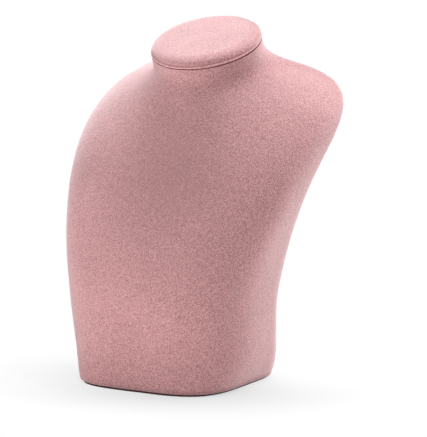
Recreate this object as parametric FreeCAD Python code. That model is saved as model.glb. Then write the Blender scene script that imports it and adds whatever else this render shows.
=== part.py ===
# Necklace display stand: a neck and shoulders form with no arms or head, moulded in one piece,
# wrapped in suede cloth, topped by a padded neck cap and standing on a felt sheet.
# Millimetres, +Z up, front towards -Y. The origin is the centre of the underside.

import FreeCAD, Part
import math
import os
from dataclasses import dataclass

from FreeCAD import Vector

# Cloth, board, padding and felt
COVER_THICKNESS = 1.0
COVER_TURN_TOP = 10.0       # width of cloth turned in over the top of the neck
COVER_TURN_BASE = 12.0      # width of cloth turned in under the base
FELT_THICKNESS = 1.2
FELT_INSET = 1.5            # the felt stops short of the base's outline
CAP_CLOTH_THICKNESS = 0.5
CAP_TURN = 9.0              # width of cloth turned in under the neck cap
BOARD_THICKNESS = 0.9
PAD_INSET = 0.9             # the pad stops short of the board, which leaves a ledge
PAD_SHOULDER = 5.0          # round of the pad's rim
PAD_CROWN = 0.7             # rise of the pad from its rim to its centre

# Heights of the widest point of each section, each above the one below
HEM_RISE = 10.8
WAIST_RISE = 48.0
CHEST_RISE = 54.0
ARMPIT_RISE = 39.5
SHOULDER_RISE = 33.0
SLOPE_RISE = 19.0
COLLAR_RISE = 11.3
NECK_RISE = 12.2

# Widths and depth of the finished bust, over the cloth
BASE_WIDTH = 115.6
BASE_DEPTH = 102.4
HEM_FLARE = 5.8             # how far the hem stands out beyond the base on each side
HEM_FRONT_DRAW_IN = 3.4     # how far it lies in from the base at the front
HEM_BACK_DRAW_IN = 2.0      # and at the back
WAIST_WIDTH = 143.6
CHEST_WIDTH = 165.2
ARMPIT_WIDTH = 183.6
SHOULDER_WIDTH = 183.8
SLOPE_DRAW_IN = 16.6        # from the shoulder's widest point in to the slope, on each side
COLLAR_FLARE = 5.4          # how far the foot of the neck spreads beyond the neck on each side

# Neck: a short tilted cylinder
NECK_DIAMETER = 78.6
NECK_LENGTH = 8.0
NECK_SETBACK = 50.4         # centre of the neck's top behind the centre of the base
NECK_TILT = 19.5            # degrees forward from level

OUTLINE_POINTS = 24         # points of each section's outline, which is a smooth closed curve
SEAM_TOLERANCE = 0.001
HALVINGS = 40               # steps that find a level on the skin


@dataclass
class Section:
    """A closed outline round the bust: a rounded rectangle from above, lower at the front."""

    width: float
    side_y: float
    side_z: float
    front_y: float
    back_y: float
    front_drop: float = 0.0     # how much lower the front centre lies than the sides
    back_drop: float = 0.0
    front_square: float = 2.0   # 2 is an ellipse, more is squarer
    back_square: float = 2.0
    back_hollow: float = 0.0    # how far the back dips in between its rounded edges

    def points(self):
        """The outline's points, from the front centre round by the right side."""
        front_z = self.side_z - self.front_drop
        back_z = self.side_z - self.back_drop
        lean = (front_z - back_z) / 2
        bow = (front_z + back_z) / 2 - self.side_z
        found = []
        for i in range(OUTLINE_POINTS):
            turn = 2 * math.pi * i / OUTLINE_POINTS
            along, across = math.cos(turn), math.sin(turn)
            square = self.front_square if along >= 0 else self.back_square
            reach = (abs(along) ** square + abs(across) ** square) ** (-1 / square)
            along *= reach
            across *= reach
            if along >= 0:
                y = self.side_y - (self.side_y - self.front_y) * along
            else:
                depth = self.back_y - self.side_y + self.back_hollow
                y = self.side_y - depth * along - self.back_hollow * along ** 2
            z = self.side_z + lean * along + bow * along ** 2
            found.append(Vector(self.width / 2 * across, y, z))
        return found


def ring(setback, height, radius, tilt):
    """A circular section, tilted forward by an angle in radians."""
    return Section(
        width=2 * radius,
        side_y=setback,
        side_z=height,
        front_y=setback - radius * math.cos(tilt),
        back_y=setback + radius * math.cos(tilt),
        front_drop=radius * math.sin(tilt),
        back_drop=-radius * math.sin(tilt),
    )


base_z = FELT_THICKNESS
hem_z = base_z + HEM_RISE
waist_z = hem_z + WAIST_RISE
chest_z = waist_z + CHEST_RISE
armpit_z = chest_z + ARMPIT_RISE
shoulder_z = armpit_z + SHOULDER_RISE
slope_z = shoulder_z + SLOPE_RISE
collar_z = slope_z + COLLAR_RISE
neck_top_z = collar_z + NECK_RISE

neck_radius = NECK_DIAMETER / 2
neck_tilt = math.radians(NECK_TILT)
neck_axis = Vector(0, -math.sin(neck_tilt), math.cos(neck_tilt))
neck_top = Vector(0, NECK_SETBACK, neck_top_z)
neck_foot = neck_top - neck_axis * NECK_LENGTH

BASE = Section(
    width=BASE_WIDTH, side_y=12, side_z=base_z, front_y=-BASE_DEPTH / 2, back_y=BASE_DEPTH / 2,
    front_square=3.8, back_square=6.5,
)
HEM = Section(
    width=BASE_WIDTH + 2 * HEM_FLARE, side_y=12, side_z=hem_z,
    front_y=BASE.front_y + HEM_FRONT_DRAW_IN, back_y=BASE.back_y - HEM_BACK_DRAW_IN,
    front_square=3.5, back_square=5.6,
)
WAIST = Section(
    width=WAIST_WIDTH, side_y=9, side_z=waist_z, front_y=-45.6, back_y=42.8,
    front_drop=2, front_square=3.3, back_square=3.8,
)
CHEST = Section(
    width=CHEST_WIDTH, side_y=23.5, side_z=chest_z, front_y=-37.3, back_y=50.3,
    front_drop=19, back_drop=0.5, front_square=3.2, back_square=3.2, back_hollow=5,
)
ARMPIT = Section(
    width=ARMPIT_WIDTH, side_y=45.7, side_z=armpit_z, front_y=-17.6, back_y=63,
    front_drop=16, back_drop=3, front_square=2.9, back_square=2.6, back_hollow=13,
)
SHOULDER = Section(
    width=SHOULDER_WIDTH, side_y=78.2, side_z=shoulder_z, front_y=-2.4, back_y=79.8,
    front_drop=20.5, back_drop=4.4, front_square=2.5, back_square=2.4, back_hollow=30,
)
SLOPE = Section(
    width=SHOULDER_WIDTH - 2 * SLOPE_DRAW_IN, side_y=87.5, side_z=slope_z, front_y=10, back_y=95,
    front_drop=17, back_drop=-3, front_square=2.2, back_square=2.2, back_hollow=22,
)
COLLAR = Section(
    width=NECK_DIAMETER + 2 * COLLAR_FLARE, side_y=71, side_z=collar_z, front_y=13.5, back_y=92.9,
    front_drop=17.6, back_drop=-4, front_square=2.1, back_square=2.1,
)
NECK_FOOT = ring(neck_foot.y, neck_foot.z, neck_radius, neck_tilt)
NECK_TOP = ring(neck_top.y, neck_top.z, neck_radius, neck_tilt)
SECTIONS = [BASE, HEM, WAIST, CHEST, ARMPIT, SHOULDER, SLOPE, COLLAR, NECK_FOOT, NECK_TOP]


def smooth_wire(points):
    """A closed smooth curve through the points, evenly spaced in its parameter."""
    curve = Part.BSplineCurve()
    steps = [i / len(points) for i in range(len(points) + 1)]
    curve.interpolate(Points=points, PeriodicFlag=True, Parameters=steps)
    return Part.Wire([curve.toShape()])


def skin(outlines):
    """One closed solid whose side is a single smooth surface through all the outlines."""
    return Part.makeLoft([smooth_wire(points) for points in outlines], True, False)


def side_face(solid):
    """The skin's own surface, without the flat faces at its ends."""
    return max(solid.Faces, key=lambda face: face.Area)


def level_inside(face, across, end_level, next_level, inwards, depth):
    """The level on the skin that lies a depth inside its flat end, found by halving."""
    end = face.valueAt(across, end_level)
    for _ in range(HALVINGS):
        level = (end_level + next_level) / 2
        if (face.valueAt(across, level) - end).dot(inwards) < depth:
            end_level = level
        else:
            next_level = level
    return next_level


def inset_outlines(solid, outlines, depth):
    """Outlines inside the solid's skin by a depth, square to the skin and to its flat ends."""
    face = side_face(solid)
    levels = [face.Surface.parameter(points[0])[1] for points in outlines]
    levels += [(below + above) / 2 for below, above in zip(levels, levels[1:])]
    levels.sort()
    ends = {levels[0]: (levels[1], Vector(0, 0, 1)), levels[-1]: (levels[-2], -neck_axis)}
    rows = []
    for level in levels:
        points = []
        for i in range(OUTLINE_POINTS):
            across = i / OUTLINE_POINTS
            if level not in ends:
                points.append(face.valueAt(across, level) - face.normalAt(across, level) * depth)
                continue
            # in the flat end's own inset plane
            next_level, inwards = ends[level]
            inner_level = level_inside(face, across, level, next_level, inwards, depth)
            normal = face.normalAt(across, inner_level)
            in_plane = normal - inwards * normal.dot(inwards)
            points.append(face.valueAt(across, inner_level) - in_plane / in_plane.dot(in_plane) * depth)
        rows.append(points)
    return rows


def base_outline(inset):
    """The outline of the base, drawn in on every side."""
    return Section(
        width=BASE.width - 2 * inset, side_y=BASE.side_y, side_z=BASE.side_z,
        front_y=BASE.front_y + inset, back_y=BASE.back_y - inset,
        front_square=BASE.front_square, back_square=BASE.back_square,
    )


def sheet_under_base(inset, bottom, top):
    """A flat sheet of the base's outline, drawn in on every side, between two heights."""
    sheet = Part.Face(smooth_wire(base_outline(inset).points())).extrude(Vector(0, 0, top - bottom))
    sheet.translate(Vector(0, 0, bottom - BASE.side_z))
    return sheet


def on_neck(solid):
    """A solid drawn on the level at the origin, set on top of the neck."""
    solid.Placement = FreeCAD.Placement(neck_top, FreeCAD.Rotation(Vector(0, 0, 1), neck_axis))
    return solid


def turned(edges):
    """A solid of revolution about the vertical through the origin."""
    return Part.Face(Part.Wire(edges)).revolve(Vector(0, 0, 0), Vector(0, 0, 1), 360)


def line(start, end):
    """A straight edge between two (radius, height) points."""
    return Part.makeLine(Vector(start[0], 0, start[1]), Vector(end[0], 0, end[1]))


def arc(start, middle, end):
    """An arc through three (radius, height) points."""
    return Part.Arc(*(Vector(radius, 0, height) for radius, height in (start, middle, end))).toShape()


def round_corner(centre, radius, from_angle, to_angle):
    """An arc about a (radius, height) point, between two angles in degrees from level."""
    angles = (from_angle, (from_angle + to_angle) / 2, to_angle)
    return arc(*(
        (centre[0] + radius * math.cos(math.radians(a)), centre[1] + radius * math.sin(math.radians(a)))
        for a in angles
    ))


def crown(radius, rim_height, rise):
    """A shallow dome's edge, from its rim to its top on the axis."""
    sphere = (radius ** 2 + rise ** 2) / (2 * rise)
    middle = radius / 2
    height = rim_height + rise - sphere + math.sqrt(sphere ** 2 - middle ** 2)
    return arc((radius, rim_height), (middle, height), (0, rim_height + rise))


def bust_skins():
    """The bust over its cloth, and the moulded form inside the cloth."""
    outlines = [section.points() for section in SECTIONS]
    outer = skin(outlines)
    return outer, skin(inset_outlines(outer, outlines, COVER_THICKNESS))


def flat_end(solid, outwards):
    """The flat face at one end of a solid, the one that lies furthest along a direction."""
    flats = [face for face in solid.Faces if face.Surface.isPlanar()]
    return max(flats, key=lambda face: face.CenterOfMass.dot(outwards))


def bust_cover(outer, form):
    """Suede cloth over the whole bust, turned in over the neck's top and under the base."""
    cloth = COVER_THICKNESS
    top_hole = on_neck(Part.makeCylinder(neck_radius - COVER_TURN_TOP, cloth, Vector(0, 0, -cloth)))
    base_hole = sheet_under_base(COVER_TURN_BASE, base_z, base_z + cloth)
    faces = [side_face(outer), side_face(form)]
    for hole, outwards in ((top_hole, neck_axis), (base_hole, Vector(0, 0, -1))):
        mouth, floor = flat_end(hole, outwards), flat_end(hole, -outwards)
        faces.append(Part.Face([flat_end(outer, outwards).OuterWire, mouth.OuterWire]))
        faces.append(Part.Face([flat_end(form, outwards).OuterWire, floor.OuterWire]))
        faces += [face for face in hole.Faces if not face.isSame(mouth) and not face.isSame(floor)]
    shell = Part.Shell(faces)
    shell.fix(SEAM_TOLERANCE, SEAM_TOLERANCE, SEAM_TOLERANCE)
    return Part.Solid(shell)


def base_felt():
    """A felt sheet glued under the base, which the stand rests on."""
    return sheet_under_base(FELT_INSET, 0, FELT_THICKNESS)


board_radius = neck_radius - CAP_CLOTH_THICKNESS
board_bottom = CAP_CLOTH_THICKNESS
board_top = board_bottom + BOARD_THICKNESS
pad_radius = board_radius - PAD_INSET
shoulder_radius = pad_radius - PAD_SHOULDER     # where the pad's rim begins to round down
pad_rim = board_top + PAD_SHOULDER


def neck_cap_board():
    """A flat disc that stiffens the neck cap."""
    return on_neck(Part.makeCylinder(board_radius, BOARD_THICKNESS, Vector(0, 0, board_bottom)))


def neck_cap_pad():
    """A foam pad on the board, with a rounded rim and a slight crown."""
    return on_neck(turned([
        line((0, board_top), (pad_radius, board_top)),
        round_corner((shoulder_radius, board_top), PAD_SHOULDER, 0, 90),
        crown(shoulder_radius, pad_rim, PAD_CROWN),
        line((0, pad_rim + PAD_CROWN), (0, board_top)),
    ]))


def neck_cap_cover():
    """Suede cloth drawn over the pad and round the board, and turned in underneath."""
    cloth = CAP_CLOTH_THICKNESS
    ledge = board_top + cloth
    rim_round = PAD_SHOULDER + cloth
    # the pad's rounded rim meets the ledge of cloth at this radius and angle
    crease_angle = math.degrees(math.asin(cloth / rim_round))
    crease_radius = shoulder_radius + rim_round * math.cos(math.radians(crease_angle))
    outside = turned([
        line((0, 0), (board_radius, 0)),
        round_corner((board_radius, board_bottom), cloth, -90, 0),
        line((neck_radius, board_bottom), (neck_radius, board_top)),
        round_corner((board_radius, board_top), cloth, 0, 90),
        line((board_radius, ledge), (crease_radius, ledge)),
        round_corner((shoulder_radius, board_top), rim_round, crease_angle, 90),
        crown(shoulder_radius, board_top + rim_round, PAD_CROWN),
        line((0, board_top + rim_round + PAD_CROWN), (0, 0)),
    ])
    hole = Part.makeCylinder(neck_radius - CAP_TURN, 2 * cloth, Vector(0, 0, -cloth))
    return on_neck(outside).cut(neck_cap_board()).cut(neck_cap_pad()).cut(on_neck(hole))


def main():
    os.makedirs("parts", exist_ok=True)
    outer, form = bust_skins()
    pieces = {
        "bust_core": form,
        "bust_cover": bust_cover(outer, form),
        "neck_cap_board": neck_cap_board(),
        "neck_cap_pad": neck_cap_pad(),
        "neck_cap_cover": neck_cap_cover(),
        "base_felt": base_felt(),
    }
    for name, shape in pieces.items():
        shape.exportStep(f"parts/{name}.step")
        box = shape.optimalBoundingBox(False, False)
        print(
            f"{name}: {len(shape.Solids)} solid, {shape.Volume / 1000:.1f} cm3, valid {shape.isValid()}, "
            f"x {box.XMin:.1f} to {box.XMax:.1f}, y {box.YMin:.1f} to {box.YMax:.1f}, "
            f"z {box.ZMin:.1f} to {box.ZMax:.1f}"
        )


main()
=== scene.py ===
# Necklace display stand: suede drawn over a neck and shoulders form, a padded neck cap and a felt
# sheet under the base. Metres, +Z up, front towards -Y.

import math
from functools import cached_property

import bmesh
import bpy
import numpy as np
from bpy.props import FloatProperty, FloatVectorProperty, IntProperty, PointerProperty
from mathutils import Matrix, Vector, noise
from mathutils.bvhtree import BVHTree


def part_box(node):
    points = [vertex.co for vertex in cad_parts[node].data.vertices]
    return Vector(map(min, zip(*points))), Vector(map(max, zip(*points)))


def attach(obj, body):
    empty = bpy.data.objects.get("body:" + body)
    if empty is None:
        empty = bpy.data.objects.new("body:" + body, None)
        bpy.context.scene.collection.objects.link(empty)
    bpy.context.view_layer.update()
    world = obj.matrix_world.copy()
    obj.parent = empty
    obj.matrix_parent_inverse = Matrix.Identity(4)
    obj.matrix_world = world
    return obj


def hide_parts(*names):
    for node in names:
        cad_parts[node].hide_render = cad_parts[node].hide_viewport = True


bl_info = {
    "name": "Necklace Stand Dresser",
    "version": (1, 0, 0),
    "blender": (4, 5, 0),
    "location": "3D View > Sidebar > Stand",
    "description": "Covers a neck and shoulders display form in suede, caps its neck and lights it",
    "category": "Add Mesh",
}

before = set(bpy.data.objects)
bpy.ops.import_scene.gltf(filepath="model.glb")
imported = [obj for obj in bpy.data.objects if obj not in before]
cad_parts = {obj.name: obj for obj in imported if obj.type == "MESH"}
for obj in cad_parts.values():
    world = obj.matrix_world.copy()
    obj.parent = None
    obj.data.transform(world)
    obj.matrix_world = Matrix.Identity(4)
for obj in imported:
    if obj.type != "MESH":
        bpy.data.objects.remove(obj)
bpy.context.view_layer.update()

BODY = "root"
MM = 0.001


class SuedeSettings(bpy.types.PropertyGroup):
    """Colour and nap of the suede cloth."""

    brushed_up: FloatVectorProperty(
        name="Brushed Up", description="Cloth colour where the nap stands towards the light",
        subtype="COLOR", size=3, min=0, max=1, default=(0.66, 0.34, 0.346),
    )
    brushed_down: FloatVectorProperty(
        name="Brushed Down", description="Cloth colour where the nap lies flat",
        subtype="COLOR", size=3, min=0, max=1, default=(0.34, 0.16, 0.163),
    )
    nap_sheen: FloatProperty(
        name="Nap Sheen", description="How strongly the nap catches light at its rims",
        subtype="FACTOR", min=0, max=1, default=1.0,
    )
    mottle_size: FloatProperty(
        name="Mottle Size", description="Width of the small patches that the nap forms",
        unit="LENGTH", min=0.0005, default=1.5 * MM, precision=4,
    )
    fibre_size: FloatProperty(
        name="Fibre Size", description="Width of the tufts of fibre in the nap",
        unit="LENGTH", min=0.0001, default=0.6 * MM, precision=4,
    )


class BustSettings(bpy.types.PropertyGroup):
    """Mesh and make of the cloth over the bust."""

    columns: IntProperty(
        name="Columns", description="Mesh columns round the bust", min=48, default=288,
    )
    rows: IntProperty(
        name="Rows", description="Mesh rows from the hem to the neck", min=24, default=146,
    )
    cloth_thickness: FloatProperty(
        name="Cloth Thickness", description="Thickness of the suede over the bust",
        unit="LENGTH", min=0.0003, default=0.8 * MM, precision=4,
    )
    hem_round: FloatProperty(
        name="Hem Round", description="Radius to which the cloth bends in under the base",
        unit="LENGTH", min=0.0002, default=1.9 * MM, precision=4,
    )
    neck_round: FloatProperty(
        name="Neck Round", description="Radius to which the cloth bends in over the neck's top",
        unit="LENGTH", min=0.0002, default=0.6 * MM, precision=4,
    )
    unevenness: FloatProperty(
        name="Unevenness", description="How far the glued cloth stands off the form in places",
        unit="LENGTH", min=0, default=0.22 * MM, precision=5,
    )


class CapSettings(bpy.types.PropertyGroup):
    """Make of the padded neck cap."""

    segments: IntProperty(
        name="Segments", description="Mesh segments round the cap", min=32, default=256,
    )
    puckers: IntProperty(
        name="Puckers", description="Small pleats in the cloth round the cap's ledge", min=0, default=46,
    )
    pucker_depth: FloatProperty(
        name="Pucker Depth", description="Depth of those pleats",
        unit="LENGTH", min=0, default=0.12 * MM, precision=5,
    )
    unevenness: FloatProperty(
        name="Unevenness", description="How far the padding strays from a true round",
        unit="LENGTH", min=0, default=0.2 * MM, precision=5,
    )


class FeltSettings(bpy.types.PropertyGroup):
    """Make of the felt sheet under the base."""

    segments: IntProperty(
        name="Segments", description="Mesh segments round the felt", min=48, default=480,
    )
    edge_round: FloatProperty(
        name="Edge Round", description="Radius to which the felt's cut edge is worn",
        unit="LENGTH", min=0.0001, default=0.4 * MM, precision=4,
    )
    edge_wander: FloatProperty(
        name="Edge Wander", description="How far the cut edge strays from its line",
        unit="LENGTH", min=0, default=0.2 * MM, precision=5,
    )


class StageSettings(bpy.types.PropertyGroup):
    """Camera, floor and lamps."""

    view_azimuth: FloatProperty(
        name="View Azimuth", description="How far round from the front the camera stands",
        subtype="ANGLE", default=math.radians(30),
    )
    view_elevation: FloatProperty(
        name="View Elevation", description="How far above the level the camera stands",
        subtype="ANGLE", default=math.radians(9.7),
    )
    view_distance: FloatProperty(
        name="View Distance", description="From the camera to the point it looks at",
        unit="LENGTH", default=2.5,
    )
    view_target: FloatVectorProperty(
        name="View Target", description="The point that the camera looks at",
        subtype="XYZ", size=3, default=(0.0265, 0.0138, 0.1138),
    )
    lens: FloatProperty(
        name="Lens", description="Focal length in millimetres", min=20, default=297.1,
    )
    floor_colour: FloatVectorProperty(
        name="Floor Colour", description="Colour of the pale floor",
        subtype="COLOR", size=3, min=0, max=1, default=(0.92, 0.92, 0.915),
    )
    back_light: FloatProperty(
        name="Back Light", description="Strength of the two softboxes high behind the stand",
        subtype="POWER", min=0, default=9.6,
    )
    right_light: FloatProperty(
        name="Right Light", description="Strength of the softbox on the right",
        subtype="POWER", min=0, default=6.0,
    )
    front_light: FloatProperty(
        name="Front Light", description="Strength of the low softbox in front, on the left",
        subtype="POWER", min=0, default=7.8,
    )
    room_light: FloatProperty(
        name="Room Light", description="Even light from all round", min=0, default=0.24,
    )


class StandSettings(bpy.types.PropertyGroup):
    """All settings of the stand."""

    suede: PointerProperty(type=SuedeSettings)
    bust: PointerProperty(type=BustSettings)
    cap: PointerProperty(type=CapSettings)
    felt: PointerProperty(type=FeltSettings)
    stage: PointerProperty(type=StageSettings)


def settings(context):
    """The stand's settings, kept on the scene."""
    return context.scene.necklace_stand


# Wiring of materials

WHITE = (1, 1, 1, 1)
SURFACE = "Principled BSDF"     # the shader that a new material comes with
BACKDROP = "Background"         # and the one that a new world comes with


class Wiring:
    """Adds and links the shader nodes of a material or a world."""

    def __init__(self, owner):
        owner.use_nodes = True
        self.owner = owner
        self.tree = owner.node_tree

    @cached_property
    def where(self):
        """Coordinates that stay with the piece, in metres."""
        return self.add("ShaderNodeTexCoord").outputs["Object"]

    def fill(self, socket, value):
        """Links a socket to the one that feeds it, or gives it a plain value."""
        if isinstance(value, bpy.types.NodeSocket):
            self.tree.links.new(value, socket)
        else:
            socket.default_value = value

    def add(self, kind, sockets=None, **choices):
        """A new node with its choices made and its sockets filled."""
        node = self.tree.nodes.new(kind)
        for name, choice in choices.items():
            setattr(node, name, choice)
        for name, value in (sockets or {}).items():
            self.fill(node.inputs[name], value)
        return node

    def maths(self, operation, *values):
        """A number worked out from numbers."""
        return self.add("ShaderNodeMath", dict(enumerate(values)), operation=operation).outputs[0]

    def measure(self, operation, *vectors):
        """A number worked out from points or directions."""
        node = self.add("ShaderNodeVectorMath", dict(enumerate(vectors)), operation=operation)
        return node.outputs["Value"]

    def grain(self, size, detail=2.0, roughness=0.5):
        """Noise whose features are about one size across."""
        sockets = {"Vector": self.where, "Scale": 1 / size, "Detail": detail, "Roughness": roughness}
        return self.add("ShaderNodeTexNoise", sockets).outputs["Fac"]

    def eased(self, value, low, high, first=0.0, last=1.0):
        """Goes from a first result to a last one as a value goes from low to high, with level ends."""
        sockets = {"Value": value, "From Min": low, "From Max": high, "To Min": first, "To Max": last}
        return self.add("ShaderNodeMapRange", sockets, interpolation_type="SMOOTHSTEP").outputs["Result"]

    def mixed(self, share, one, other, kind="Float"):
        """A blend of two numbers, or of two colours where the kind is Color."""
        node = self.add("ShaderNodeMix", data_type={"Float": "FLOAT", "Color": "RGBA"}[kind])
        sockets = {socket.identifier: socket for socket in node.inputs}
        for name, value in (("Factor_Float", share), (f"A_{kind}", one), (f"B_{kind}", other)):
            self.fill(sockets[name], value)
        return next(socket for socket in node.outputs if socket.identifier == f"Result_{kind}")

    def two_tone(self, value, low, high, deep, pale):
        """A colour that goes from deep to pale as a value goes from low to high."""
        return self.mixed(self.eased(value, low, high), (*deep, 1), (*pale, 1), "Color")

    def relief(self, *heights):
        """A surface direction bent by pairs of a height and its depth in metres, the finest last."""
        bent = {}
        for height, depth in heights:
            bump = self.add("ShaderNodeBump", {"Height": height, "Distance": depth, **bent})
            bent = {"Normal": bump.outputs["Normal"]}
        return bent["Normal"]

    def finished(self, shader, sockets):
        """Fills the sockets of the owner's own shader and gives back the owner."""
        for name, value in sockets.items():
            self.fill(self.tree.nodes[shader].inputs[name], value)
        return self.owner


def shared(name, make, *choices):
    """A material made once and used by every piece of that finish."""
    return bpy.data.materials.get(name) or make(*choices)


# Suede

NAP_PATCH = 38 * MM         # width of the broad patches in which the nap lies alike
PATCH_SHARE = 0.25          # share of those in the mottled nap
FIBRE_SHARE = 0.7           # and share of the fine fibres in the whole nap
NAP_DOWN = 0.41             # below this much of the nap's noise the cloth has its brushed-down colour
NAP_UP = 0.59               # and above this its brushed-up one
NAP_EVEN = 0.5              # where the nap lies neither way
PAINTED_SHADE_PLACES = (                # places of painted shade, where the cloth is painted darker, and how far round them that reaches
    ((0.048, 0.036, 0.204), 0.036),     # foot of the neck, on the right
    ((0.010, -0.014, 0.146), 0.080),    # the chest
    ((-0.066, -0.005, 0.148), 0.036),   # front of the left shoulder
)
PAINTED_LIGHT_PLACES = (              # and places of painted light, where it is painted lighter
    ((-0.033, -0.042, 0.055), 0.090),   # the front, low on the left
    ((0.088, 0.072, 0.196), 0.042),     # tip of the right shoulder
    ((0.006, 0.015, 0.201), 0.034),     # front of the neck
)
NAP_SMOOTH = (((0.004, -0.014, 0.148), 0.085),)     # where the chest's nap is stroked even
PAINTED_SHADE_DEPTH = 0.045          # how far the nap's noise drops in the places of painted shade
PAINTED_LIGHT_DEPTH = 0.03         # and rises in the places of painted light
SMOOTH_SHARE = 0.55         # how much of its grain the even place loses
HEM_SHADE_HEIGHT = 6 * MM           # painted shade along the hem reaches up to this height
HEM_SHADE_DEPTH = 0.11            # and the nap's noise drops this much at the very edge, painting it darker
NAP_RELIEF = 0.2 * MM       # depth of the mottle and of the fibres
SHEEN_TINT = (1.0, 0.85, 0.88, 1)
SEAM_SHADE_GRAIN = 0.8 * MM    # width of the grain left in the painted seam shade
SEAM_SHADE_RELIEF = 0.1 * MM
# deep and pale colours of the painted seam shade
SEAM_SHADE_DEEP = (0.18, 0.045, 0.055)
SEAM_SHADE_PALE = (0.28, 0.08, 0.09)


def near_places(cloth, places, peak=1.0):
    """How near a point is to any of several places: a peak there, fading to 0 at each one's reach."""
    nearest = None
    for place, reach in places:
        fade = cloth.eased(cloth.measure("DISTANCE", cloth.where, place), 0, reach, peak, 0)
        nearest = fade if nearest is None else cloth.maths("MAXIMUM", nearest, fade)
    return nearest


def painted_hem_shade(cloth):
    """Painted shade along the hem: 1 at the cloth's lowest edge, fading to 0 a little above it."""
    height = cloth.add("ShaderNodeSeparateXYZ", {"Vector": cloth.where}).outputs["Z"]
    return cloth.eased(height, 0, HEM_SHADE_HEIGHT, 1, 0)


def nap_with_painted_shade_and_light(cloth, mottle, fibres):
    """How far the nap stands up: mottled, with broad patches; painted darker as shade in some places and
    along the hem, and lighter as painted light in others.
    """
    patches = cloth.grain(NAP_PATCH, detail=3)
    nap = cloth.mixed(FIBRE_SHARE, cloth.mixed(PATCH_SHARE, mottle, patches), fibres)
    nap = cloth.mixed(near_places(cloth, NAP_SMOOTH, SMOOTH_SHARE), nap, NAP_EVEN)
    # painted shade and light: darker or lighter in the places listed above, and darker along the hem
    for share, amount in (
        (near_places(cloth, PAINTED_SHADE_PLACES), -PAINTED_SHADE_DEPTH),
        (near_places(cloth, PAINTED_LIGHT_PLACES), PAINTED_LIGHT_DEPTH),
        (painted_hem_shade(cloth), -HEM_SHADE_DEPTH),
    ):
        nap = cloth.maths("MULTIPLY_ADD", share, amount, nap)
    return nap


def suede_material(choice, name="suede_cloth", lift=1.0):
    """Dusty pink microfibre suede: short nap in small mottled patches, with a soft sheen; the nap
    carries painted shade and light in places, and a lift above 1 makes a lighter copy for painted
    highlight.
    """
    cloth = Wiring(bpy.data.materials.new(name))
    mottle = cloth.grain(choice.mottle_size, detail=3, roughness=0.6)
    fibres = cloth.grain(choice.fibre_size, detail=1)
    down = [part * lift for part in choice.brushed_down]
    up = [part * lift for part in choice.brushed_up]
    return cloth.finished(SURFACE, {
        "Base Color": cloth.two_tone(nap_with_painted_shade_and_light(cloth, mottle, fibres), NAP_DOWN, NAP_UP, down, up),
        "Roughness": 0.92,
        "Specular IOR Level": 0.22,
        "Sheen Weight": choice.nap_sheen,
        "Sheen Roughness": 0.5,
        "Sheen Tint": SHEEN_TINT,
        "Normal": cloth.relief((mottle, NAP_RELIEF), (fibres, NAP_RELIEF)),
    })


def seam_shade_material():
    """Painted seam shade: the same cloth where it lies in the seam, deeper in colour and with no nap."""
    cloth = Wiring(bpy.data.materials.new("seam_shade_suede"))
    grain = cloth.grain(SEAM_SHADE_GRAIN, detail=3)
    return cloth.finished(SURFACE, {
        "Base Color": cloth.two_tone(grain, low=0.35, high=0.65, deep=SEAM_SHADE_DEEP, pale=SEAM_SHADE_PALE),
        "Roughness": 1.0,
        "Specular IOR Level": 0.1,
        "Normal": cloth.relief((grain, SEAM_SHADE_RELIEF)),
    })


# Felt, foam and board

FELT_MATTING = 3 * MM       # width of the matted tufts
MATTING_RELIEF = 0.25 * MM
FELT_HAIRS = 0.35 * MM      # width of the single hairs
HAIR_RELIEF = 0.1 * MM
HAIR_SHARE = 0.45           # share of the hairs in the felt's colour
FELT_DEEP = (0.045, 0.016, 0.018)
FELT_PALE = (0.12, 0.05, 0.054)
FOAM_CELL = 0.9 * MM
FOAM_RELIEF = 0.3 * MM
FOAM_DEEP = (0.62, 0.6, 0.55)
FOAM_PALE = (0.86, 0.85, 0.81)
MOULDING_FLOW = 26 * MM     # width of the flow marks in the moulding's skin
MOULDING_PITS = 1.1 * MM    # and of its pinholes
PIT_RELIEF = 0.08 * MM
MOULDING_DEEP = (0.72, 0.69, 0.62)
MOULDING_PALE = (0.8, 0.78, 0.72)
BOARD_FLECKS = 0.8 * MM     # width of the flecks of fibre
FLECK_RELIEF = 0.05 * MM
BOARD_CLOUDS = 9 * MM       # width of the cloudy patches between them
CLOUD_SHARE = 0.35          # share of those in the board's colour
BOARD_DEEP = (0.3, 0.29, 0.27)
BOARD_PALE = (0.47, 0.46, 0.43)


def felt_material():
    """Dark brown pressed felt with matted fibres."""
    felt = Wiring(bpy.data.materials.new("brown_felt"))
    matting = felt.grain(FELT_MATTING, detail=5, roughness=0.7)
    hairs = felt.grain(FELT_HAIRS, detail=3)
    fibres = felt.mixed(HAIR_SHARE, matting, hairs)
    return felt.finished(SURFACE, {
        "Base Color": felt.two_tone(fibres, low=0.35, high=0.68, deep=FELT_DEEP, pale=FELT_PALE),
        "Roughness": 1.0,
        "Specular IOR Level": 0.02,
        "Normal": felt.relief((matting, MATTING_RELIEF), (hairs, HAIR_RELIEF)),
    })


def foam_material():
    """White open-cell foam."""
    foam = Wiring(bpy.data.materials.new("white_foam"))
    cells = foam.add("ShaderNodeTexVoronoi", {"Vector": foam.where, "Scale": 1 / FOAM_CELL})
    depth = cells.outputs["Distance"]
    return foam.finished(SURFACE, {
        "Base Color": foam.two_tone(depth, low=0.1, high=0.7, deep=FOAM_DEEP, pale=FOAM_PALE),
        "Roughness": 0.95,
        "Normal": foam.relief((depth, FOAM_RELIEF)),
    })


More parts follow.
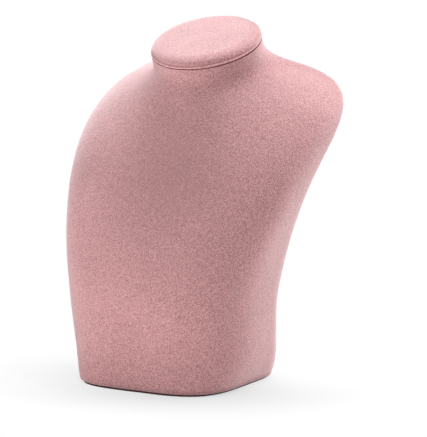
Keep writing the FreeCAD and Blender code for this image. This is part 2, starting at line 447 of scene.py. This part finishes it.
def moulding_material():
    """Rigid foam moulding: a fine closed skin with faint flow marks and pinholes."""
    skin = Wiring(bpy.data.materials.new("moulded_foam"))
    flow = skin.grain(MOULDING_FLOW, detail=3)
    pits = skin.grain(MOULDING_PITS, detail=3)
    return skin.finished(SURFACE, {
        "Base Color": skin.two_tone(flow, low=0.35, high=0.65, deep=MOULDING_DEEP, pale=MOULDING_PALE),
        "Roughness": skin.mixed(flow, 0.55, 0.75),
        "Normal": skin.relief((pits, PIT_RELIEF)),
    })


def board_material():
    """Pressed grey board with flecks of fibre."""
    board = Wiring(bpy.data.materials.new("pressed_board"))
    flecks = board.grain(BOARD_FLECKS, detail=4, roughness=0.7)
    clouds = board.grain(BOARD_CLOUDS)
    mixture = board.mixed(CLOUD_SHARE, flecks, clouds)
    return board.finished(SURFACE, {
        "Base Color": board.two_tone(mixture, low=0.32, high=0.68, deep=BOARD_DEEP, pale=BOARD_PALE),
        "Roughness": 0.9,
        "Normal": board.relief((flecks, FLECK_RELIEF)),
    })


# Meshes

def face_outwards(mesh):
    """Turns every face of a closed mesh outwards."""
    edit = bmesh.new()
    edit.from_mesh(mesh)
    bmesh.ops.recalc_face_normals(edit, faces=edit.faces)
    edit.to_mesh(mesh)
    edit.free()


def add_piece(name, points, faces, material):
    """A smooth-shaded mesh piece in the scene, with its faces outwards."""
    mesh = bpy.data.meshes.new(name)
    mesh.from_pydata([tuple(p) for p in points], [], faces)
    mesh.materials.append(material)
    mesh.shade_smooth()
    piece = bpy.data.objects.new(name, mesh)
    bpy.context.scene.collection.objects.link(piece)
    face_outwards(mesh)
    return piece


def give_faces(piece, material, first, last):
    """Gives a run of a piece's faces another material."""
    piece.data.materials.append(material)
    slot = len(piece.data.materials) - 1
    for face in piece.data.polygons[first:last]:
        face.material_index = slot


def strip_faces(rows, columns):
    """Quads between rings of points that follow each other, each ring closed."""
    faces = []
    for row in range(rows - 1):
        for column in range(columns):
            beside = (column + 1) % columns
            low, high = row * columns, (row + 1) * columns
            faces.append((low + column, low + beside, high + beside, high + column))
    return faces


def close_ends(points, faces, columns, first, last):
    """Closes the first and the last ring of points, each with triangles to a point in its middle."""
    last_ring = len(points) - columns
    start, end = len(points), len(points) + 1
    points += [first, last]
    for k in range(columns):
        beside = (k + 1) % columns
        faces.append((start, beside, k))
        faces.append((end, last_ring + k, last_ring + beside))


def tree_of(node):
    """A search tree over a CAD node's own mesh."""
    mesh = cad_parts[node].data
    return BVHTree.FromPolygons([v.co for v in mesh.vertices], [p.vertices for p in mesh.polygons])


def disc_axis(node):
    """Centre and upward axis of a flat round CAD node."""
    places = np.array([v.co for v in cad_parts[node].data.vertices])
    middle = Vector((places.min(axis=0) + places.max(axis=0)) / 2)
    widest_first = np.linalg.svd(places - places.mean(axis=0), full_matrices=False)[2]
    axis = Vector(widest_first[2])
    return middle, axis if axis.z > 0 else -axis


def smooth_step(share):
    """Eases from 0 to 1 with level ends."""
    share = min(max(share, 0.0), 1.0)
    return share * share * (3 - 2 * share)


def evenly(points, count, closed):
    """Points moved along their own line so that they stand evenly apart."""
    line = np.vstack([points, points[:1]]) if closed else points
    steps = np.linalg.norm(np.diff(line, axis=0), axis=1)
    run = np.concatenate([[0], np.cumsum(steps)])
    stations = np.linspace(0, run[-1], count, endpoint=not closed)
    return np.stack([np.interp(stations, run, line[:, k]) for k in range(3)], axis=1)


class NeckSeat:
    """The flat top of the neck, which the cap stands on."""

    def __init__(self):
        middle, self.axis = disc_axis("neck_cap_board")
        cap_low = min(self.heights("neck_cap_cover", middle))
        self.centre = middle + self.axis * cap_low
        self.tilt = math.atan2(-self.axis.y, self.axis.z)
        self.board_low, self.board_high = self.span("neck_cap_board")
        self.cap_high = self.span("neck_cap_cover")[1]
        self.pad_high = self.span("neck_cap_pad")[1]
        self.board_radius = self.reach("neck_cap_board")
        self.pad_radius = self.reach("neck_cap_pad")
        self.cap_radius = self.reach("neck_cap_cover")

    def heights(self, node, origin):
        """How high each point of a node stands along the neck's axis, over a point."""
        return [(v.co - origin).dot(self.axis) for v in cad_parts[node].data.vertices]

    def span(self, node):
        """Lowest and highest point of a node along the neck's axis."""
        found = self.heights(node, self.centre)
        return min(found), max(found)

    def reach(self, node):
        """Radius of a node about the neck's axis."""
        away = [v.co - self.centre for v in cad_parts[node].data.vertices]
        return max((a - self.axis * a.dot(self.axis)).length for a in away)

    def place(self, radius, angle, height):
        """A point given by its radius, angle and height about the neck's axis."""
        back = Vector((0, self.axis.z, -self.axis.y))
        level = Vector((1, 0, 0)) * math.cos(angle) + back * math.sin(angle)
        return self.centre + level * radius + self.axis * height


# Bust cover

SKIN_RAYS = 720             # directions in which a skin is searched at each level
SKIN_LEVELS = 260           # levels searched from the hem to the neck
RAY_START = 0.3             # rays come in from this far outside
RELAX_PASSES = 6            # how often the grid's small steps are evened out
TURN_TOP = 10 * MM          # cloth turned in over the neck's top
TURN_BASE = 12 * MM         # cloth turned in under the base
EDGE_ROWS = 5               # rows round each rolled edge
TURN_ROWS = 5               # rows across each turned-in part
SEAM_ROWS = 9               # last rows at the neck's top, which lie in the seam and get the painted seam shade
BROAD_WAVE = 34 * MM        # width of the broad waves in the glued cloth
BROAD_DRAW = 3.7            # and where in the noise they are drawn
FINE_WAVE = 11 * MM         # width of the fine waves
FINE_DRAW = 9.1
FINE_SHARE = 0.3            # height of the fine waves beside the broad ones
DRAW_STEPS = (1, 0.7, 0.3)  # how far a draw moves the noise along each axis
CLOTH_NOISE = (0.9, 2.0, 3)     # how much weaker and finer each layer is, and the number of layers
CALM_ROWS = 6               # rows at each end of the grid over which the waves die out


def skin_line(tree, centre, tilt):
    """Points of a skin's outline in a tilted level, from the front round by the right."""
    points = []
    slope = math.tan(tilt)
    for i in range(SKIN_RAYS):
        angle = 2 * math.pi * i / SKIN_RAYS
        outward = Vector((math.sin(angle), -math.cos(angle), -math.cos(angle) * slope)).normalized()
        hit = tree.ray_cast(centre + outward * RAY_START, -outward)[0]
        if hit is None:
            raise RuntimeError("the skin has a gap")
        points.append(hit)
    return np.array(points)


def skin_grid(seat, choice):
    """The skin as rings of evenly spaced points, from above the base to below the neck's top."""
    columns, rows = choice.columns, choice.rows
    tree = tree_of("bust_cover")
    base = Vector((0, 0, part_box("bust_cover")[0][2]))
    height = seat.centre.z - base.z
    first, last = choice.hem_round / height, 1 - choice.neck_round / height
    levels = []
    for i in range(SKIN_LEVELS):
        share = first + (last - first) * i / (SKIN_LEVELS - 1)
        centre = base.lerp(seat.centre, share)
        levels.append(evenly(skin_line(tree, centre, seat.tilt * smooth_step(share)), columns, True))
    dense = np.stack(levels)
    grid = np.stack([evenly(dense[:, k], rows, False) for k in range(columns)], axis=1)
    return relaxed(grid)


def relaxed(grid):
    """Evens out the small steps that the CAD mesh's facets leave in the grid.

    In each pass a point keeps half of its place and takes a quarter from its neighbours each way.
    """
    for _ in range(RELAX_PASSES):
        around = (np.roll(grid, 1, axis=1) + np.roll(grid, -1, axis=1)) / 2
        along = grid.copy()
        along[1:-1] = (grid[:-2] + grid[2:]) / 2
        grid = grid / 2 + around / 4 + along / 4
    return grid


def grid_normals(grid):
    """Outward directions at each point of a grid of rings."""
    along = np.gradient(grid, axis=0)
    around = np.roll(grid, -1, axis=1) - np.roll(grid, 1, axis=1)
    normals = np.cross(around, along)
    return normals / np.linalg.norm(normals, axis=2, keepdims=True)


def uneven(grid, depth, size, draw):
    """Moves each point a little along its normal, as glued cloth stands off its form."""
    offset = Vector([draw * step for step in DRAW_STEPS])
    heights = np.array([
        [noise.fractal(Vector(p) / size + offset, *CLOTH_NOISE) for p in row] for row in grid
    ])
    fade = np.ones(len(grid))
    fade[:CALM_ROWS] = np.linspace(0, 1, CALM_ROWS)
    fade[-CALM_ROWS:] = np.linspace(1, 0, CALM_ROWS)
    return grid + grid_normals(grid) * (heights * fade[:, None] * depth)[..., None]


def rolled_edge(ring, middle, outward, radius, turn):
    """Rings that carry on from the last one: round an edge of the form and in over its flat end."""
    away = ring - middle
    away -= np.outer(away @ outward, outward)
    sideways = away / np.linalg.norm(away, axis=1, keepdims=True)
    rings = []
    for i in range(1, EDGE_ROWS + 1):
        angle = math.pi / 2 * i / EDGE_ROWS
        drop = sideways * radius * (1 - math.cos(angle))
        rings.append(ring - drop + outward * radius * math.sin(angle))
    last = rings[-1]
    for i in range(1, TURN_ROWS + 1):
        rings.append(last - sideways * (turn - radius) * i / TURN_ROWS)
    return rings


def bust_cover(choice, suede, seam):
    """The suede over the whole bust, rolled in at the hem and over the neck's top."""
    seat = NeckSeat()
    grid = skin_grid(seat, choice)
    grid = uneven(grid, choice.unevenness, BROAD_WAVE, BROAD_DRAW)
    grid = uneven(grid, choice.unevenness * FINE_SHARE, FINE_WAVE, FINE_DRAW)
    base_middle = np.array((0, 0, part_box("bust_cover")[0][2]))
    bottom = rolled_edge(grid[0], base_middle, np.array((0, 0, -1.0)), choice.hem_round, TURN_BASE)
    top = rolled_edge(grid[-1], np.array(seat.centre), np.array(seat.axis), choice.neck_round, TURN_TOP)
    rings = bottom[::-1] + list(grid) + top
    faces = strip_faces(len(rings), choice.columns)
    piece = add_piece("suede_bust_cover", np.concatenate(rings), faces, suede)
    # the rows in the seam get the painted seam shade
    give_faces(piece, seam, (len(rings) - SEAM_ROWS) * choice.columns, len(faces))
    thickness = piece.modifiers.new("cloth", "SOLIDIFY")
    thickness.thickness = choice.cloth_thickness
    thickness.offset = -1
    thickness.use_even_offset = True
    return piece


class STAND_OT_bust_cover(bpy.types.Operator):
    """Draw the suede cloth over the bust"""

    bl_idname = "stand.bust_cover"
    bl_label = "Bust Cover"

    def execute(self, context):
        chosen = settings(context)
        suede = shared("suede_cloth", suede_material, chosen.suede)
        piece = bust_cover(chosen.bust, suede, shared("seam_shade_suede", seam_shade_material))
        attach(piece, BODY)
        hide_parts("bust_cover")
        return {"FINISHED"}


# Neck cap

CAP_CROWN = 0.5 * MM        # rise of the cap from its rim to its centre
CAP_PLUMP = 0.3 * MM        # the padding swells the cloth this far above its plain CAD form
RIM_ROLL = 8.4 * MM         # how far in from the rim the cloth begins to roll down
ROLL_POWER = 1.7            # 2 rolls in an ellipse, and less is flatter
ROLL_RINGS = 20
DOME_RINGS = 22
BULGE_RISE = 1.8 * MM       # the padding is widest this far above the ledge
BULGE_TUCK = 0.6 * MM       # and goes in by this much below, to the crease
WALL_RINGS = 8
CREASE_ROUND = 0.5 * MM     # the cloth bends to this radius where it meets the ledge
CREASE_RINGS = 5
LEDGE_REACH = 0.2 * MM      # the ledge stands out this far past its plain CAD form
LEDGE_ROUND = 0.5 * MM
EDGE_RINGS = 6              # rings round each of the ledge's two edges
SEAM_GAP = 0.55 * MM        # the cap's lower edge stands this far off the neck
SEAM_DEPTH = 1.5 * MM       # and the seam goes in this far
TURN_MARGIN = 5.0 * MM      # cloth turned in beyond the seam
SEAM_RINGS = 6              # rings of the cap's section that lie in the seam and get the painted seam shade
LEDGE_RINGS = 9             # and the rings after them, which make the ledge and get the painted highlight
LEDGE_HIGHLIGHT_LIFT = 1.35          # the ledge's cloth is painted this much lighter, as a highlight

PLUMP_SIDE = math.radians(40)   # the padding swells over the ledge on this side, from +X to the back
PLUMP_SHARE = 0.9           # share of the ledge that it covers there
PLUMP_FADE = 1.6            # the swell fades out at this share of the way up to the padding's widest
BOARD_COVER = 0.4 * MM      # the cloth passes this far outside the board's rim there
SEAM_OPEN = 0.45 * MM       # and the seam below it opens by this much more
SEAM_WANDER = 0.25 * MM     # how unevenly the cap's lower edge lies along the neck
RIM_BAND = 2 * MM           # the cap's rim reaches this far inside the pad's edge
PUCKER_REACH = 0.9 * MM     # the puckers die out this far above and below the ledge
PUCKER_WANDER = 7           # how far the puckers stray from even spacing, in radians of their wave
PUCKER_STRENGTH = 0.5       # how strong the middling ones are
SOFT_SHARE = 0.6            # how much of the padding's unevenness goes sideways
IN_OUT_SHARE = 0.5          # how much of a pucker's depth goes in and out

CAP_WAVE = 14 * MM          # width of the soft waves in the padding
SOFT_DRAW = (4.1, 2.3)      # where in the noise they are drawn
WANDER_NOISE = (2.2, (0, 0, 3.0))   # how fast the noise changes round the cap, and where it is drawn
STRENGTH_NOISE = (3.1, (0, 7.0, 0))
SEAM_NOISE = (5.0, (0, 0, 12.0))

PAD_ROUND = 4.6 * MM        # rounding of the foam pad's rim
PAD_ROUND_RINGS = 8
PAD_DOME_RINGS = 10
PAD_CLEARANCE = 0.1 * MM    # the foam stays this far inside the cloth


def turned_form(seat, profile, segments, shift=None):
    """Points and faces of a profile of (radius, height) turned about the neck's axis."""
    points = []
    for radius, height in profile:
        for k in range(segments):
            angle = 2 * math.pi * k / segments
            out, up = shift(radius, height, angle) if shift else (0, 0)
            points.append(seat.place(radius + out, angle, height + up))
    return points, strip_faces(len(profile), segments)


def arc_points(centre, radius, start, end, count):
    """Points of an arc in the profile, angles in degrees from level."""
    angles = np.radians(np.linspace(start, end, count))
    return [(centre[0] + radius * math.cos(a), centre[1] + radius * math.sin(a)) for a in angles]


def dome_points(rim_radius, rim_height, crown_height, count):
    """Points of a shallow dome, from just inside its rim towards the axis."""
    found = []
    for i in range(1, count):
        share = i / count
        rise = (crown_height - rim_height) * (1 - (1 - share) ** 2)
        found.append((rim_radius * (1 - share), rim_height + rise))
    return found


def cap_profile(seat):
    """The cap's section from under its rim to the top: seam, ledge, crease, rolled rim and crown."""
    cloth = seat.board_low
    ledge = seat.board_high + cloth
    outer = seat.cap_radius + LEDGE_REACH
    inner = outer - SEAM_DEPTH
    bulge = seat.pad_radius + cloth
    bulge_high = ledge + BULGE_RISE
    crease = bulge - BULGE_TUCK
    wall_low = ledge + CREASE_ROUND
    shoulder = bulge - RIM_ROLL
    crown = seat.cap_high + CAP_PLUMP
    rim_top = crown - CAP_CROWN
    profile = [(inner - TURN_MARGIN, 0.0), (inner, 0.0), (inner, SEAM_GAP)]
    profile += arc_points((outer - cloth, SEAM_GAP + cloth), cloth, -90, 0, EDGE_RINGS)
    profile += arc_points((outer - LEDGE_ROUND, ledge - LEDGE_ROUND), LEDGE_ROUND, 0, 90, EDGE_RINGS)
    profile += arc_points((crease + CREASE_ROUND, wall_low), CREASE_ROUND, 270, 180, CREASE_RINGS)
    for share in np.linspace(0, 1, WALL_RINGS)[1:-1]:
        height = wall_low + (bulge_high - wall_low) * share
        profile.append((crease + BULGE_TUCK * smooth_step(share), height))
    for angle in np.radians(np.linspace(0, 90, ROLL_RINGS)):
        across, up = math.cos(angle) ** (2 / ROLL_POWER), math.sin(angle) ** (2 / ROLL_POWER)
        profile.append((shoulder + RIM_ROLL * across, bulge_high + (rim_top - bulge_high) * up))
    profile += dome_points(shoulder, rim_top, crown, DOME_RINGS)
    return profile


def noise_round(around, kind):
    """Noise that runs round the cap and joins up with itself."""
    speed, draw = kind
    return noise.noise(around * speed + Vector(draw))


def pucker(around, angle, count):
    """How far the cloth stands up in a pleat, or down between two, at an angle round the ledge."""
    wander = PUCKER_WANDER * noise_round(around, WANDER_NOISE)
    strength = PUCKER_STRENGTH + noise_round(around, STRENGTH_NOISE)
    return math.sin(count * angle + wander) * strength


def cap_shift(seat, choice):
    """How the cap's cloth strays from a true turned form, at a radius, a height and an angle.

    It puckers at the ledge, its crown is soft and uneven, and on one side it swells over the ledge.
    """
    ledge = seat.board_high + seat.board_low
    wall = seat.board_radius + BOARD_COVER

    def shift(radius, height, angle):
        around = Vector((math.cos(angle), math.sin(angle), 0))
        at_rim = radius > seat.pad_radius - RIM_BAND
        at_ledge = math.exp(-((height - ledge) / PUCKER_REACH) ** 2) * at_rim
        pleat = choice.pucker_depth * pucker(around, angle, choice.puckers) * at_ledge
        soft = choice.unevenness * noise.noise(
            around * (radius / CAP_WAVE) + Vector((*SOFT_DRAW, height / CAP_WAVE)))
        plump = PLUMP_SHARE * smooth_step(math.cos(angle - PLUMP_SIDE))
        low_edge = max(0.0, 1 - height / ledge) * (height > 0)
        out = soft * SOFT_SHARE - pleat * IN_OUT_SHARE
        up = soft * (height > ledge) + pleat
        up += (SEAM_OPEN * plump + SEAM_WANDER * noise_round(around, SEAM_NOISE)) * low_edge
        if height > SEAM_GAP and at_rim:
            out += (wall - radius) * plump * smooth_step(PLUMP_FADE - (height - ledge) / BULGE_RISE)
        return out, up

    return shift


def neck_cap(choice, suede, seam, ledge_highlight):
    """The cap's suede over its pad, with a ledge where the cloth is drawn round the board."""
    seat = NeckSeat()
    crown = seat.cap_high + CAP_PLUMP
    points, faces = turned_form(seat, cap_profile(seat), choice.segments, cap_shift(seat, choice))
    close_ends(points, faces, choice.segments, seat.place(0, 0, seat.board_low), seat.place(0, 0, crown))
    piece = add_piece("suede_neck_cap", points, faces, suede)
    ledge_start = SEAM_RINGS * choice.segments
    # the seam's rings get the painted seam shade
    give_faces(piece, seam, 0, ledge_start)
    # the ledge's rings get a lighter copy of the suede: painted highlight
    give_faces(piece, ledge_highlight, ledge_start, ledge_start + LEDGE_RINGS * choice.segments)
    return piece


def neck_pad(choice, foam):
    """The foam pad inside the cap."""
    seat = NeckSeat()
    low = seat.board_high
    crown = seat.pad_high - PAD_CLEARANCE
    top = crown - CAP_CROWN
    radius = seat.pad_radius - BULGE_TUCK - PAD_CLEARANCE
    flat_radius = radius - PAD_ROUND
    profile = [(radius, low)]
    profile += arc_points((flat_radius, top - PAD_ROUND), PAD_ROUND, 0, 90, PAD_ROUND_RINGS)
    profile += dome_points(flat_radius, top, crown, PAD_DOME_RINGS)
    segments = choice.segments // 2
    points, faces = turned_form(seat, profile, segments)
    close_ends(points, faces, segments, seat.place(0, 0, low), seat.place(0, 0, crown))
    return add_piece("foam_neck_pad", points, faces, foam)


class STAND_OT_neck_cap(bpy.types.Operator):
    """Make the padded cap on the neck"""

    bl_idname = "stand.neck_cap"
    bl_label = "Neck Cap"

    def execute(self, context):
        chosen = settings(context)
        suede = shared("suede_cloth", suede_material, chosen.suede)
        # a lighter copy of the suede, painted highlight for the cap's ledge
        ledge_highlight = shared("rubbed_suede", suede_material, chosen.suede, "rubbed_suede", LEDGE_HIGHLIGHT_LIFT)
        cap = neck_cap(chosen.cap, suede, shared("seam_shade_suede", seam_shade_material), ledge_highlight)
        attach(cap, BODY)
        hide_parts("neck_cap_cover")
        pad = neck_pad(chosen.cap, shared("white_foam", foam_material))
        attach(pad, BODY)
        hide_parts("neck_cap_pad")
        return {"FINISHED"}


# Base felt

FELT_RINGS = 16             # rings across each face of the felt
FELT_CROWDING = 1.5         # above 1 they stand closer together near its middle
FELT_WORN_TURN = 70         # its worn edge bends this far up and down, in degrees
FELT_WORN_RINGS = 7
FELT_HAIR = 1.3 * MM        # width of the tufts along its cut edge
FELT_NOISE = (0.8, 2.0, 3)  # how much weaker and finer each layer is, and the number of layers
FELT_FALL = 8               # the higher, the nearer the edge the raggedness ends


def felt_section(low, high, edge):
    """The felt's section, from the middle of its underside round its edge to the middle of its top.

    Each point is a share of the outline's reach, an inset from there and a height.
    """
    middle = (low + high) / 2
    shares = [(1 - i / FELT_RINGS) ** FELT_CROWDING for i in range(FELT_RINGS)][::-1]
    section = [(share, -edge, low) for share in shares]
    steepest = math.sin(math.radians(FELT_WORN_TURN))
    for angle in np.radians(np.linspace(-FELT_WORN_TURN, FELT_WORN_TURN, FELT_WORN_RINGS)):
        height = middle + (high - middle) * math.sin(angle) / steepest
        section.append((1.0, edge * (math.cos(angle) - 1), height))
    return section + [(share, -edge, high) for share in shares[::-1]]


def flat_area(line):
    """Area inside a closed line, seen from above."""
    x, y = line[:, 0], line[:, 1]
    return float(abs(np.dot(x, np.roll(y, -1)) - np.dot(y, np.roll(x, -1))) / 2)


def felt_sheet(choice, felt):
    """The felt cut to the base's outline, with a worn, slightly ragged edge, and its flat area."""
    low, high = (Vector(corner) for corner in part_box("base_felt"))
    middle = (low + high) / 2
    line = evenly(skin_line(tree_of("base_felt"), middle, 0.0), choice.segments, True)
    away = line - np.array(middle)
    reach = np.linalg.norm(away[:, :2], axis=1)
    tufts = np.array([noise.fractal(Vector(p) / FELT_HAIR, *FELT_NOISE) for p in line])
    section = felt_section(low.z, high.z, choice.edge_round)
    points = []
    for share, inset, height in section:
        factors = share * (1 + (inset + choice.edge_wander * tufts * share ** FELT_FALL) / reach)
        points += [(middle.x + x * f, middle.y + y * f, height) for (x, y, _), f in zip(away, factors)]
    faces = strip_faces(len(section), choice.segments)
    close_ends(points, faces, choice.segments, (middle.x, middle.y, low.z), (middle.x, middle.y, high.z))
    return add_piece("brown_felt_sheet", points, faces, felt), flat_area(line)


class STAND_OT_base_felt(bpy.types.Operator):
    """Glue the felt sheet under the base"""

    bl_idname = "stand.base_felt"
    bl_label = "Base Felt"

    def execute(self, context):
        piece, area = felt_sheet(settings(context).felt, shared("brown_felt", felt_material))
        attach(piece, BODY)
        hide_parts("base_felt")
        return {"FINISHED"}


# Hidden pieces

def finish_node(node, material):
    """Gives a carried-over CAD node its material."""
    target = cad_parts[node]
    target.data.materials.clear()
    target.data.materials.append(material)


class STAND_OT_inner_form(bpy.types.Operator):
    """Finish the moulded form and the board inside the cap"""

    bl_idname = "stand.inner_form"
    bl_label = "Inner Form"

    def execute(self, context):
        finish_node("bust_core", shared("moulded_foam", moulding_material))
        finish_node("neck_cap_board", shared("pressed_board", board_material))
        return {"FINISHED"}


# Stage

FLOOR_HALF = 6.0            # from the middle of the floor to its sides
SHADE_REACH = 0.07          # the floor keeps its shade to this distance from the stand's middle
WHITE_REACH = 0.17          # and is plain white from here on
FLOOR_GLOW = 0.88           # share of the near floor that doesn't follow the lamps
CONTACT_REACH = 0.085       # how far the soft shade round the base reaches
SHADE_SIDE = (0.5, -0.87, 0)    # the side that this shade falls to, away from the lamps behind
SHADE_START = 0.0           # along that side it deepens from here
SHADE_END = 0.085           # to here
SHADE_LEAST = 0.2           # how dark it is right beside the stand before it deepens
SHADE_MOST = 0.68           # and after
LAMP_DISTANCE = 1.2
LAMP_AIM = Vector((0, 0.03, 0.13))
SOFTBOX = (0.7, 0.7)        # width and height of the softboxes behind and on the right
LOW_SOFTBOX = (0.8, 0.56)   # and of the low one in front
BACK_BALANCE = 1.2          # the right lamp behind is this much stronger, and the left one weaker
SIGHT_END = 50              # the camera sees this far


def contact_shade(floor):
    """Brightness of the white floor: a soft shade round the base, which deepens to one side."""
    contact = floor.add("ShaderNodeAmbientOcclusion", {"Distance": CONTACT_REACH}).outputs["AO"]
    along = floor.measure("DOT_PRODUCT", floor.where, SHADE_SIDE)
    darkest = floor.eased(along, SHADE_START, SHADE_END, 1 - SHADE_LEAST, 1 - SHADE_MOST)
    return floor.mixed(contact, darkest, 1.0)


def white_share(floor):
    """Share of the white floor where it is seen, mirrored or seen through: all of it, far away."""
    rays = floor.add("ShaderNodeLightPath").outputs
    seen = floor.maths("MAXIMUM", rays["Is Camera Ray"], rays["Is Glossy Ray"])
    seen = floor.maths("MAXIMUM", seen, rays["Is Transmission Ray"])
    far = floor.eased(floor.measure("LENGTH", floor.where), SHADE_REACH, WHITE_REACH)
    return floor.maths("MULTIPLY", seen, floor.mixed(far, FLOOR_GLOW, 1.0))


def floor_material(choice):
    """A pale floor that keeps the stand's soft shadow and runs out to white."""
    floor = Wiring(bpy.data.materials.new("pale_floor"))
    floor.tree.nodes.clear()
    painted = floor.add("ShaderNodeBsdfDiffuse", {"Color": (*choice.floor_colour, 1)})
    white = floor.add("ShaderNodeEmission", {"Strength": contact_shade(floor)})
    sockets = {"Fac": white_share(floor), 1: painted.outputs[0], 2: white.outputs[0]}
    blend = floor.add("ShaderNodeMixShader", sockets)
    floor.add("ShaderNodeOutputMaterial", {"Surface": blend.outputs[0]})
    return floor.owner


def add_floor(choice):
    """The floor that the stand rests on."""
    corners = [(x * FLOOR_HALF, y * FLOOR_HALF, 0) for x, y in ((-1, -1), (1, -1), (1, 1), (-1, 1))]
    mesh = bpy.data.meshes.new("floor")
    mesh.from_pydata(corners, [], [(0, 1, 2, 3)])
    mesh.materials.append(floor_material(choice))
    floor = bpy.data.objects.new("floor", mesh)
    bpy.context.scene.collection.objects.link(floor)


def towards(bearing, rise):
    """A direction by its bearing, from the front round by the right, and its rise above the level."""
    level = math.cos(rise)
    return Vector((math.sin(bearing) * level, -math.cos(bearing) * level, math.sin(rise)))


def add_softbox(name, bearing, rise, size, power):
    """A rectangular lamp that looks at the stand, its bearing and rise in degrees."""
    lamp = bpy.data.lights.new(name, "AREA")
    lamp.shape = "RECTANGLE"
    lamp.size, lamp.size_y = size
    lamp.energy = power
    holder = bpy.data.objects.new(name, lamp)
    away = towards(math.radians(bearing), math.radians(rise))
    holder.location = LAMP_AIM + away * LAMP_DISTANCE
    holder.rotation_euler = away.to_track_quat("Z", "Y").to_euler()
    bpy.context.scene.collection.objects.link(holder)


def add_lamps(choice):
    """Two softboxes high behind the stand, one on its right and a low one in front."""
    strong, weak = choice.back_light * BACK_BALANCE, choice.back_light / BACK_BALANCE
    add_softbox("back_right_softbox", bearing=150, rise=65, size=SOFTBOX, power=strong)
    add_softbox("back_left_softbox", bearing=210, rise=65, size=SOFTBOX, power=weak)
    add_softbox("right_softbox", bearing=120, rise=38, size=SOFTBOX, power=choice.right_light)
    add_softbox("front_softbox", bearing=-33, rise=8, size=LOW_SOFTBOX, power=choice.front_light)


def add_world(choice):
    """Even room light, with plain white behind."""
    world = Wiring(bpy.data.worlds.new("studio"))
    seen = world.add("ShaderNodeLightPath").outputs["Is Camera Ray"]
    strength = world.mixed(seen, choice.room_light, 1.0)
    bpy.context.scene.world = world.finished(BACKDROP, {"Color": WHITE, "Strength": strength})


def add_camera(choice):
    """The camera at the photograph's viewing angle."""
    lens = bpy.data.cameras.new("camera")
    lens.lens = choice.lens
    lens.clip_end = SIGHT_END
    camera = bpy.data.objects.new("camera", lens)
    back = towards(choice.view_azimuth, choice.view_elevation)
    camera.location = Vector(choice.view_target) + back * choice.view_distance
    camera.rotation_euler = back.to_track_quat("Z", "Y").to_euler()
    bpy.context.scene.collection.objects.link(camera)
    bpy.context.scene.camera = camera


class STAND_OT_stage(bpy.types.Operator):
    """Set up the floor, the lamps and the camera"""

    bl_idname = "stand.stage"
    bl_label = "Stage"

    def execute(self, context):
        choice = settings(context).stage
        add_floor(choice)
        add_world(choice)
        add_lamps(choice)
        add_camera(choice)
        context.scene.view_settings.view_transform = "Standard"
        return {"FINISHED"}


class STAND_PT_panel(bpy.types.Panel):
    """The stand's pieces, in the order in which they are made"""

    bl_label = "Necklace Stand"
    bl_idname = "STAND_PT_panel"
    bl_space_type = "VIEW_3D"
    bl_region_type = "UI"
    bl_category = "Stand"

    def draw(self, context):
        layout = self.layout
        chosen = settings(context)
        for group in (chosen.suede, chosen.bust, chosen.cap, chosen.felt, chosen.stage):
            box = layout.box()
            for name in group.__annotations__:
                box.prop(group, name)
        for operator in OPERATORS:
            layout.operator(operator.bl_idname)


OPERATORS = (
    STAND_OT_inner_form,
    STAND_OT_bust_cover,
    STAND_OT_neck_cap,
    STAND_OT_base_felt,
    STAND_OT_stage,
)
GROUPS = (SuedeSettings, BustSettings, CapSettings, FeltSettings, StageSettings, StandSettings)
CLASSES = (*GROUPS, *OPERATORS, STAND_PT_panel)


def register():
    """Adds the stand's settings, operators and panel."""
    for cls in CLASSES:
        bpy.utils.register_class(cls)
    bpy.types.Scene.necklace_stand = PointerProperty(type=StandSettings)


def unregister():
    """Takes them away again."""
    del bpy.types.Scene.necklace_stand
    for cls in reversed(CLASSES):
        bpy.utils.unregister_class(cls)


def main():
    """Makes the whole stand and its stage."""
    register()
    bpy.ops.stand.inner_form()
    bpy.ops.stand.bust_cover()
    bpy.ops.stand.neck_cap()
    bpy.ops.stand.base_felt()
    bpy.ops.stand.stage()


if __name__ == "__main__":
    main()
